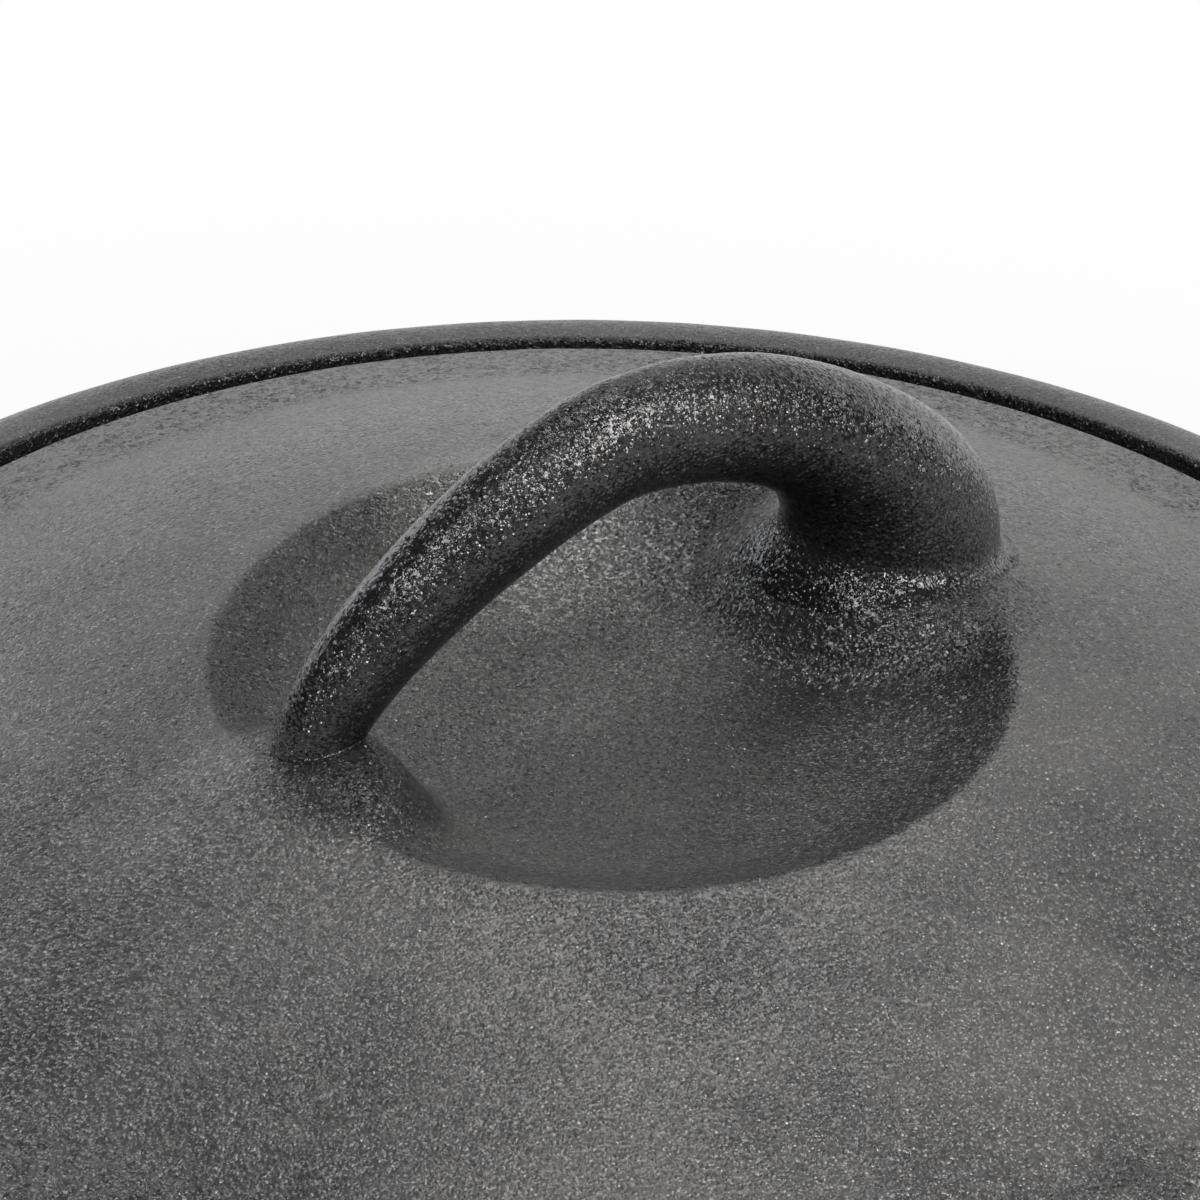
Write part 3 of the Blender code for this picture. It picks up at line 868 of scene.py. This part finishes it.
# %% [markdown]
# ## Seasoned cast iron
# Sand leaves a fine grain on iron, and a baked oil film turns it near black without filling the
# grain. Under a soft lamp the grain sparkles, because each tiny slope mirrors a different part of
# the room. The finish is noise in object space at several lengths: patches of oil film three
# centimetres across, the waves of the mould at five millimetres, a peel of about one, and grains
# between a third and four fifths of a millimetre. All of them read the Object coordinates in
# metres, so a noise scale is simply one over a length.

# %% Nodes and arithmetic


def node(tree, kind, inputs=None, **settings):
    """Adds a node, sets its properties and joins or fills its inputs."""
    item = tree.nodes.new(kind)
    for name, value in settings.items():
        setattr(item, name, value)
    for name, value in (inputs or {}).items():
        socket = item.inputs[name]
        if isinstance(value, bpy.types.NodeSocket):
            tree.links.new(value, socket)
        else:
            socket.default_value = value
    return item


def number(tree, operation, *inputs, **settings):
    """One step of arithmetic; each input is a socket or a number."""
    inputs = dict(enumerate(inputs))
    return node(tree, "ShaderNodeMath", inputs, operation=operation, **settings).outputs[0]


def vector(tree, operation, *inputs, result="Vector", **named):
    """The same on vectors. A length, distance or dot product comes out as Value."""
    inputs = {**dict(enumerate(inputs)), **named}
    return node(tree, "ShaderNodeVectorMath", inputs, operation=operation).outputs[result]


print("helpers:", [helper.__name__ for helper in (node, number, vector)])

# %% Patterns, ranges and mixes


def noise(tree, place, length, detail=2.0, roughness=0.5):
    """Noise whose features are about one length across, in metres."""
    inputs = {"Vector": place, "Scale": 1.0 / length, "Detail": detail, "Roughness": roughness}
    return node(tree, "ShaderNodeTexNoise", inputs).outputs["Fac"]


def cells(tree, place, length):
    """Cells about one length across: the distance to the middle and a random colour."""
    return node(tree, "ShaderNodeTexVoronoi", {"Vector": place, "Scale": 1.0 / length}).outputs


def remap(tree, value, low, high, new_low, new_high):
    """Straight line from one range to another, stopped at both ends."""
    ends = {"From Min": low, "From Max": high, "To Min": new_low, "To Max": new_high}
    return node(tree, "ShaderNodeMapRange", {"Value": value, **ends}).outputs["Result"]


def blend(tree, share, first, second):
    """Mix of two colours, each a socket or three numbers."""
    mix = node(tree, "ShaderNodeMix", {"Factor": share}, data_type="RGBA")
    for name, value in (("A", first), ("B", second)):
        if isinstance(value, bpy.types.NodeSocket):
            tree.links.new(value, mix.inputs[name])
        else:
            mix.inputs[name].default_value = (*value, 1.0)
    return mix.outputs["Result"]


print("helpers:", [helper.__name__ for helper in (noise, cells, remap, blend)])

# %% Grain that sparkles
GRAIN = 0.00034
ROUND_GRAIN = 0.00052
COARSE_GRAIN = 0.0008
PEEL = 0.0012
MOULD_WAVES = 0.005
OIL_PATCHES = 0.03
CUBE_GAIN = 8.0


def grain_push(tree, place, length, tilt):
    """A random vector in each grain, cubed so that few grains tilt far from the surface.

    The cube of a half is an eighth, so the gain brings the largest push back to one tilt.
    """
    centred = vector(tree, "SUBTRACT", cells(tree, place, length)["Color"], (0.5, 0.5, 0.5))
    square = vector(tree, "MULTIPLY", centred, centred)
    cube = vector(tree, "MULTIPLY", square, centred)
    return vector(tree, "SCALE", cube, Scale=CUBE_GAIN * tilt)


print("grains from", GRAIN / MM, "to", COARSE_GRAIN / MM, "mm across")

# %% [markdown]
# ## Where shade and a highlight are painted
# The rim's inner wall by the ledge, the dish, the band outside the crease and the ground round the
# feet of the loop are darker: painted shade where the iron lies in shadow, and there it is also
# glossier. A spot on the dish's far wall under the loop is paler: a painted highlight where the
# wall mirrors the top lamp, and it is glossier too. Each place is a soft mask by distance: from the
# pan's axis for a ring, from a point of the lid for a spot.

# %% Rings and spots
RING_EDGE = 0.4
# Rings of painted shade on the lid: the dish's floor, the dish's wall and the band outside the
# crease, each also glossier.
DISH_SHADE_RING = (-10.0, DISH_EDGE_RADIUS - 5.0, 5.0, 0.0, 0.34)
DISH_WALL_SHADE_RING = (DISH_EDGE_RADIUS - 10.0, DISH_EDGE_RADIUS, 5.0, 0.0, 0.58)
BAND_SHADE_RING = (CREASE_RADIUS, LID_EDGE_RADIUS, 1.2, 0.0, 0.22)
LID_SHADE_RINGS = (DISH_SHADE_RING, DISH_WALL_SHADE_RING, BAND_SHADE_RING)
# Painted shadow on the rim's inner wall, where the gap round the lid lies dark, with more gloss.
RIM_SHADE_RINGS = ((RIM_INNER_RADIUS - 1.0, RIM_INNER_RADIUS + 0.7, 0.6, LEDGE_Z - 1.0, 0.8),)
# Spots of painted shade round both feet of the loop, where the tongues' slopes lie in shadow; they
# are glossier too.
FOOT_SHADE_SPOTS = (((33.0, -7.0), 11.0, 17.0, 0.6), ((-34.5, -3.0), 8.0, 12.0, 0.7))
# A spot of painted highlight on the dish's far wall under the loop, where it mirrors the top lamp;
# it is glossier too.
PAINTED_HIGHLIGHT_SPOTS = (((13.0, 29.0), 4.0, 18.0, 0.65),)


def ring_mask(tree, place, inner, outer, fade=RING_EDGE):
    """One between two radii from the pan's axis, else nothing; the fade is the inner side's."""
    level = vector(tree, "MULTIPLY", place, (1.0, 1.0, 0.0))
    radius = vector(tree, "LENGTH", level, result="Value")
    rise = remap(tree, radius, (inner - fade) * MM, (inner + fade) * MM, 0.0, 1.0)
    fall = remap(tree, radius, (outer - RING_EDGE) * MM, (outer + RING_EDGE) * MM, 1.0, 0.0)
    return number(tree, "MULTIPLY", rise, fall)


def largest_share(tree, place, rings, spots):
    """The largest of several soft masks, each times its share.

    A ring is its two radii, fade, lowest height and share. A spot is its place on the lid, the
    radius where its share begins to fall, the radius where nothing is left, and the share.
    """
    shares = []
    height = node(tree, "ShaderNodeSeparateXYZ", {0: place}).outputs["Z"]
    for inner, outer, fade, lowest, share in rings:
        above = remap(tree, height, lowest * MM, (lowest + 1.0) * MM, 0.0, share)
        ring = ring_mask(tree, place, inner, outer, fade)
        shares.append(number(tree, "MULTIPLY", ring, above))
    for centre, inner, outer, share in spots:
        centre = tuple(value * MM for value in (*centre, LID_PLANE_Z))
        away = vector(tree, "DISTANCE", place, centre, result="Value")
        shares.append(remap(tree, away, inner * MM, outer * MM, share, 0.0))
    largest = shares[0]
    for share in shares[1:]:
        largest = number(tree, "MAXIMUM", largest, share)
    return largest


# Rings and spots of painted shade.
print("rings of oil on the lid:", len(LID_SHADE_RINGS), "and spots:", len(FOOT_SHADE_SPOTS))

# %% [markdown]
# ## The iron itself
# Three finishes share one recipe: the lid is dry and grey, the loop is darker and glossier from
# hands and oil, and the pan is rougher. A look is the numbers in which they differ. The colour,
# the roughness and the normal all read the same noises, so a grain that stands up is also paler
# and catches the light. A range is four numbers: two values that are read, and the two that they
# turn into.

# %% Noises, colour and roughness
RUST = (0.2, 0.13, 0.09)
# Painted shade, mixed in over the shade rings and spots.
PAINTED_SHADE = (0.02, 0.02, 0.021)
# Painted highlight, mixed in over the highlight spot.
PAINTED_HIGHLIGHT = (0.34, 0.338, 0.334)
GRAIN_DOME = (0.12, 0.5, 1.0, 0.0)
PALE_CHANCE = (0.6, 1.0, 0.0, 1.0)
RUSTY_CHANCE = (0.88, 0.94, 0.0, 0.5)
PATCH_TONE = (0.35, 0.65, 0.04, 0.28)
GRAIN_TONE = (0.3, 0.8, 0.0, 0.3)
NOISE_MIDDLE = (0.3, 0.7)
PATCH_ROUGHNESS = 0.04
PEEL_ROUGHNESS = 0.05
OIL_GLOSS = 0.1


def iron_noises(tree, place):
    """Heights and shares that colour, roughness and normal read, by name."""
    grains = cells(tree, place, ROUND_GRAIN)
    chance = node(tree, "ShaderNodeSeparateColor", {0: grains["Color"]}).outputs
    dome = remap(tree, grains["Distance"], *GRAIN_DOME)
    return {
        "grain": noise(tree, place, GRAIN, detail=2.0, roughness=0.6),
        "peel": noise(tree, place, PEEL, detail=3.0, roughness=0.6),
        "waves": noise(tree, place, MOULD_WAVES, detail=2.0),
        "patches": noise(tree, place, OIL_PATCHES, detail=3.0, roughness=0.6),
        "dome": dome,
        "pale": number(tree, "MULTIPLY", remap(tree, chance["Red"], *PALE_CHANCE), dome),
        "rusty": number(tree, "MULTIPLY", remap(tree, chance["Green"], *RUSTY_CHANCE), dome),
    }


def iron_colour(tree, noises, look, shade_and_gloss, highlight_share):
    """Dark to light by patches, fine grain and pale grains; over that rust, painted shade and a
    painted highlight.
    """
    patches = remap(tree, noises["patches"], *PATCH_TONE)
    grain = remap(tree, noises["grain"], *GRAIN_TONE)
    base = number(tree, "ADD", patches, grain)
    tone = number(tree, "ADD", noises["pale"], base, use_clamp=True)
    colour = blend(tree, tone, look["dark"], look["light"])
    colour = blend(tree, noises["rusty"], colour, RUST)
    # Painted shade, then a painted highlight.
    colour = blend(tree, shade_and_gloss, colour, PAINTED_SHADE)
    return blend(tree, highlight_share, colour, PAINTED_HIGHLIGHT) if highlight_share else colour


def iron_roughness(tree, noises, look, glossy):
    """The look's roughness, up and down a little by patches and peel, less where it is glossy."""
    low = look["rough"] - PATCH_ROUGHNESS
    high = look["rough"] + PATCH_ROUGHNESS
    patches = remap(tree, noises["patches"], *NOISE_MIDDLE, low, high)
    peel = remap(tree, noises["peel"], *NOISE_MIDDLE, -PEEL_ROUGHNESS, PEEL_ROUGHNESS)
    roughness = number(tree, "ADD", patches, peel)
    return number(tree, "MULTIPLY_ADD", glossy, -OIL_GLOSS, roughness)


LENGTHS = (GRAIN, ROUND_GRAIN, PEEL, MOULD_WAVES, OIL_PATCHES)
print("noises at", [round(length / MM, 2) for length in LENGTHS], "mm")

# %% Normal
WAVE_BUMP = 0.00008
GRAIN_BUMPS = (("peel", 0.00013), ("dome", 0.00007), ("grain", 0.00005))
GLOSSY_FROM = (0.0, 0.35)
GLOSSY_TILT = 2.1
COARSE_TILT = 1.6


def iron_normal(tree, place, noises, look, glossy, coarse):
    """Bumps at four sizes, and the grains' random pushes added to the normal that they give."""
    bumps = [("waves", WAVE_BUMP)]
    bumps += [(name, height * look["depth"]) for name, height in GRAIN_BUMPS]
    normal = None
    for name, height in bumps:
        inputs = {"Strength": 1.0, "Distance": height, "Height": noises[name]}
        if normal:
            inputs["Normal"] = normal
        normal = node(tree, "ShaderNodeBump", inputs).outputs["Normal"]
    push = grain_push(tree, place, GRAIN, look["tilt"])
    more = remap(tree, glossy, *GLOSSY_FROM, 1.0, GLOSSY_TILT)
    pushes = [vector(tree, "SCALE", push, Scale=more)]
    if coarse:
        push = grain_push(tree, place, COARSE_GRAIN, COARSE_TILT * look["tilt"])
        pushes.append(vector(tree, "SCALE", push, Scale=ring_mask(tree, place, *coarse)))
    for push in pushes:
        normal = vector(tree, "ADD", normal, push)
    return vector(tree, "NORMALIZE", normal)


print("highest bump:", round(max(height for name, height in GRAIN_BUMPS) / MM, 3), "mm")

# %% The three finishes
DRY = {
    "dark": (0.062, 0.062, 0.065),
    "light": (0.3, 0.296, 0.288),
    "rough": 0.31,
    "metal": 0.6,
    "shine": 0.5,
    "tilt": 0.28,
    "depth": 1.45,
}
OILY = {
    "dark": (0.02, 0.02, 0.021),
    "light": (0.17, 0.17, 0.172),
    "rough": 0.25,
    "metal": 0.86,
    "shine": 0.7,
    "tilt": 0.34,
    "depth": 0.9,
}
ROUGH = {**DRY, "dark": (0.05, 0.05, 0.053), "light": (0.24, 0.24, 0.245), "depth": 1.7}
LID_COARSE = (CREASE_RADIUS + 0.5, LID_EDGE_RADIUS, 1.2)
PAN_COARSE = (-10.0, RIM_INNER_RADIUS - 0.5)


def cast_iron(name, look, rings, spots=(), coarse=None, highlight_spots=()):
    """Seasoned iron of one look, with rings and spots of painted shade and spots of painted
    highlight.

    The coarse ring, two radii and a fade, has larger grains over the fine ones.
    """
    material = bpy.data.materials.new(name)
    material.use_nodes = True
    tree = material.node_tree
    shader = tree.nodes["Principled BSDF"].inputs
    place = node(tree, "ShaderNodeTexCoord").outputs["Object"]
    noises = iron_noises(tree, place)
    # Masks of painted shade, which is also glossier, and of a painted highlight.
    shade_and_gloss = largest_share(tree, place, rings, spots)
    highlight_share = largest_share(tree, place, (), highlight_spots) if highlight_spots else None
    glossy = number(tree, "MAXIMUM", shade_and_gloss, highlight_share) if highlight_share else shade_and_gloss
    tree.links.new(iron_colour(tree, noises, look, shade_and_gloss, highlight_share), shader["Base Color"])
    tree.links.new(iron_roughness(tree, noises, look, glossy), shader["Roughness"])
    tree.links.new(iron_normal(tree, place, noises, look, glossy, coarse), shader["Normal"])
    shader["Metallic"].default_value = look["metal"]
    shader["Specular IOR Level"].default_value = look["shine"]
    print(name, "has", len(tree.nodes), "nodes")
    return material


lid_iron = cast_iron("lid_iron_finish", DRY, LID_SHADE_RINGS, FOOT_SHADE_SPOTS, LID_COARSE, PAINTED_HIGHLIGHT_SPOTS)
loop_iron = cast_iron("loop_iron_finish", OILY, RIM_SHADE_RINGS)
pan_iron = cast_iron("pan_iron_finish", ROUGH, RIM_SHADE_RINGS, coarse=PAN_COARSE)

# %% [markdown]
# ## Who rides on what
# The lid lifts off the pan, so its two pieces ride on the lid's body and the other two on the
# pan's. Each piece gets its finish, and the frame's solid of its body, which it stands in front
# of, is hidden.

# %% Finish, body, slot and solid of each piece
for piece, iron, body, slot in (
    (lid_plate, lid_iron, "lid", "lid_iron"),
    (lid_loop, loop_iron, "lid", "lid_iron"),
    (pan_body, pan_iron, "pan", "pan_iron"),
    (pan_handle, pan_iron, "pan", "pan_iron"),
):
    piece.data.materials.append(iron)
    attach(piece, body)
    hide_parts(body)
    print(piece.name, "rides on", body)

# %% [markdown]
# ## Floor
# The photograph is a cut-out look on white. A floor that only the camera sees as white gives that
# without pouring more light on the iron, and the share of it that stays a plain white surface
# keeps the shadow.

# %% Build the floor
FLOOR_HALF = 3.0
FLOOR_GAP = 0.0003
SHADOW_REACH = (0.16, 0.34)
SHADOW_WHITE = 0.72
FLOOR_COLOUR = (0.9, 0.9, 0.9, 1.0)
WHITE = (1.0, 1.0, 1.0, 1.0)


def floor_finish():
    """Plain white to every light ray, and mostly glowing white to rays from the camera.

    The glow's share grows from the pan's shadow outwards, where nothing but white is left.
    """
    material = bpy.data.materials.new("white_floor")
    material.use_nodes = True
    tree = material.node_tree
    tree.nodes.clear()
    ray = node(tree, "ShaderNodeLightPath").outputs
    seen = number(tree, "MAXIMUM", ray["Is Camera Ray"], ray["Is Glossy Ray"])
    seen = number(tree, "MAXIMUM", seen, ray["Is Transmission Ray"])
    place = node(tree, "ShaderNodeTexCoord").outputs["Object"]
    away = vector(tree, "LENGTH", place, result="Value")
    share = number(tree, "MULTIPLY", seen, remap(tree, away, *SHADOW_REACH, SHADOW_WHITE, 1.0))
    plain = node(tree, "ShaderNodeBsdfDiffuse", {"Color": FLOOR_COLOUR}).outputs[0]
    white = node(tree, "ShaderNodeEmission", {"Color": WHITE, "Strength": 1.0}).outputs[0]
    mix = node(tree, "ShaderNodeMixShader", {0: share, 1: plain, 2: white})
    node(tree, "ShaderNodeOutputMaterial", {"Surface": mix.outputs[0]})
    return material


def white_floor():
    """One square, a hair below the pan's base so that the two faces don't fight."""
    signs = ((-1, -1), (1, -1), (1, 1), (-1, 1))
    corners = [(x * FLOOR_HALF, y * FLOOR_HALF, -FLOOR_GAP) for x, y in signs]
    mesh = bpy.data.meshes.new("floor")
    mesh.from_pydata(corners, [], [(0, 1, 2, 3)])
    mesh.materials.append(floor_finish())
    floor = bpy.data.objects.new("floor", mesh)
    bpy.context.scene.collection.objects.link(floor)
    floor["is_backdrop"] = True
    print("floor is", 2.0 * FLOOR_HALF, "metres wide")


white_floor()

# %% [markdown]
# ## Light
# The photograph has a broad soft light behind the pan and little from the camera's side, which is
# why the loop's near side is almost black while the dome shines. A strong lamp high on the right
# makes the belt of glints along the bar, and a weaker one above the camera carries that belt down
# to the slim foot. The top lamp is where the dish's far wall and the dome in front mirror it,
# which gives both their pale patches. The room is therefore a gradient by direction, bright
# behind and dark in front, with six soft lamps.

# %% The room's gradient
CAMERA_AZIMUTH = math.radians(-39.5)
BACK = np.array([-math.sin(CAMERA_AZIMUTH), math.cos(CAMERA_AZIMUTH), 0.0])
LEFT = np.array([-math.cos(CAMERA_AZIMUTH), -math.sin(CAMERA_AZIMUTH), 0.0])
UP = np.array([0.0, 0.0, 1.0])
BRIGHT_WAY = 0.93 * BACK - 0.05 * LEFT - 0.1 * UP
GLOW_RANGE = (0.3, 0.95)
GLOW_STRENGTH = (0.045, 0.98)


def room():
    """Glow by the dot product of a direction with the bright one; the camera sees plain white."""
    world = bpy.data.worlds.new("studio")
    bpy.context.scene.world = world
    world.use_nodes = True
    tree = world.node_tree
    tree.nodes.clear()
    way = node(tree, "ShaderNodeTexCoord").outputs["Generated"]
    facing = vector(tree, "DOT_PRODUCT", way, tuple(BRIGHT_WAY), result="Value")
    glow = remap(tree, facing, *GLOW_RANGE, *GLOW_STRENGTH)
    ray = node(tree, "ShaderNodeLightPath").outputs
    mix = {"Factor": ray["Is Camera Ray"], "A": glow, "B": 1.0}
    strength = node(tree, "ShaderNodeMix", mix, data_type="FLOAT").outputs["Result"]
    background = node(tree, "ShaderNodeBackground", {"Strength": strength}).outputs[0]
    node(tree, "ShaderNodeOutputWorld", {"Surface": background})
    print("glow runs from", GLOW_STRENGTH[0], "in front to", GLOW_STRENGTH[1], "behind")


room()

# %% Six soft lamps
LAMP_TARGET = (0.0, 0.0, 0.1)
COOL = (0.92, 0.95, 1.0)
PLAIN = (1.0, 1.0, 1.0)
WARM = (1.0, 0.99, 0.97)
WARMER = (1.0, 0.98, 0.95)
LAMPS = (
    ("top_lamp", 0.45, -0.1, 1.2, 0.35, 3.1, WARM),
    ("back_lamp", 0.95, -0.05, 1.15, 0.3, 0.9, PLAIN),
    ("back_left_lamp", 0.95, 0.85, 0.4, 0.5, 2.6, COOL),
    ("back_right_lamp", 0.85, -0.9, 0.25, 0.4, 1.2, PLAIN),
    ("right_lamp", -0.42, -0.98, 0.92, 0.5, 12.0, WARMER),
    ("front_lamp", -0.8, 0.28, 1.05, 0.4, 6.5, PLAIN),
)


def soft_lamp(name, place, size, power, colour):
    """Square area lamp that looks at the lid."""
    lamp = bpy.data.lights.new(name, "AREA")
    lamp.size = size
    lamp.energy = power
    lamp.color = colour
    item = bpy.data.objects.new(name, lamp)
    item.location = place
    look = Matrix.Translation(LAMP_TARGET).translation - item.location
    item.rotation_euler = look.to_track_quat("-Z", "Y").to_euler()
    item.visible_camera = False
    bpy.context.scene.collection.objects.link(item)
    print(name, "gives", power, "watts")


for name, back, left, height, size, power, colour in LAMPS:
    soft_lamp(name, tuple(back * BACK + left * LEFT + height * UP), size, power, colour)

# %% [markdown]
# ## Camera
# The camera was found from the photograph: the rim, the lid and the dish are circles on one axis,
# and a picture of such circles fixes where the camera stood, how far it was tilted and how long
# its lens was.

# %% Camera at the photograph's place
CAMERA_PLACE = (-0.3885, -0.4696, 0.4938)
CAMERA_TURN = math.radians(39.478534)
CAMERA_PITCH = math.radians(31.810846)
CAMERA_ROLL = math.radians(1.360018)
LENS = 210.0
SENSOR_WIDTH = 36.0
NEAR_CLIP = 0.01


def camera_matrix():
    """Columns right, up and back, rolled about the line of sight, then the place."""
    ahead = np.array([math.sin(CAMERA_TURN), math.cos(CAMERA_TURN), 0.0])
    sight = math.cos(CAMERA_PITCH) * ahead - math.sin(CAMERA_PITCH) * UP
    level = np.array([math.cos(CAMERA_TURN), -math.sin(CAMERA_TURN), 0.0])
    upward = np.cross(level, sight)
    right = math.cos(CAMERA_ROLL) * level + math.sin(CAMERA_ROLL) * upward
    top = -math.sin(CAMERA_ROLL) * level + math.cos(CAMERA_ROLL) * upward
    columns = np.stack([right, top, -sight, np.array(CAMERA_PLACE)], -1)
    return Matrix([list(row) for row in columns] + [[0.0, 0.0, 0.0, 1.0]])


def photo_camera():
    """A long lens at the place and turn that the matrix gives."""
    lens = bpy.data.cameras.new("photo_camera")
    lens.sensor_width = SENSOR_WIDTH
    lens.lens = LENS
    lens.clip_start = NEAR_CLIP
    camera = bpy.data.objects.new("photo_camera", lens)
    bpy.context.scene.collection.objects.link(camera)
    camera.matrix_world = camera_matrix()
    bpy.context.scene.camera = camera
    print("camera at", [round(value, 3) for value in camera.matrix_world.translation])


photo_camera()
bpy.context.scene.view_settings.view_transform = "Standard"

# %% Sizes of the frame and of the looks, and the end
low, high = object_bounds()
below = [round(float(a - b) / MM, 2) for a, b in zip(low, cad_low)]
above = [round(float(a - b) / MM, 2) for a, b in zip(cad_high, high)]
print("looks stand inside the frame by", below, above, "mm")
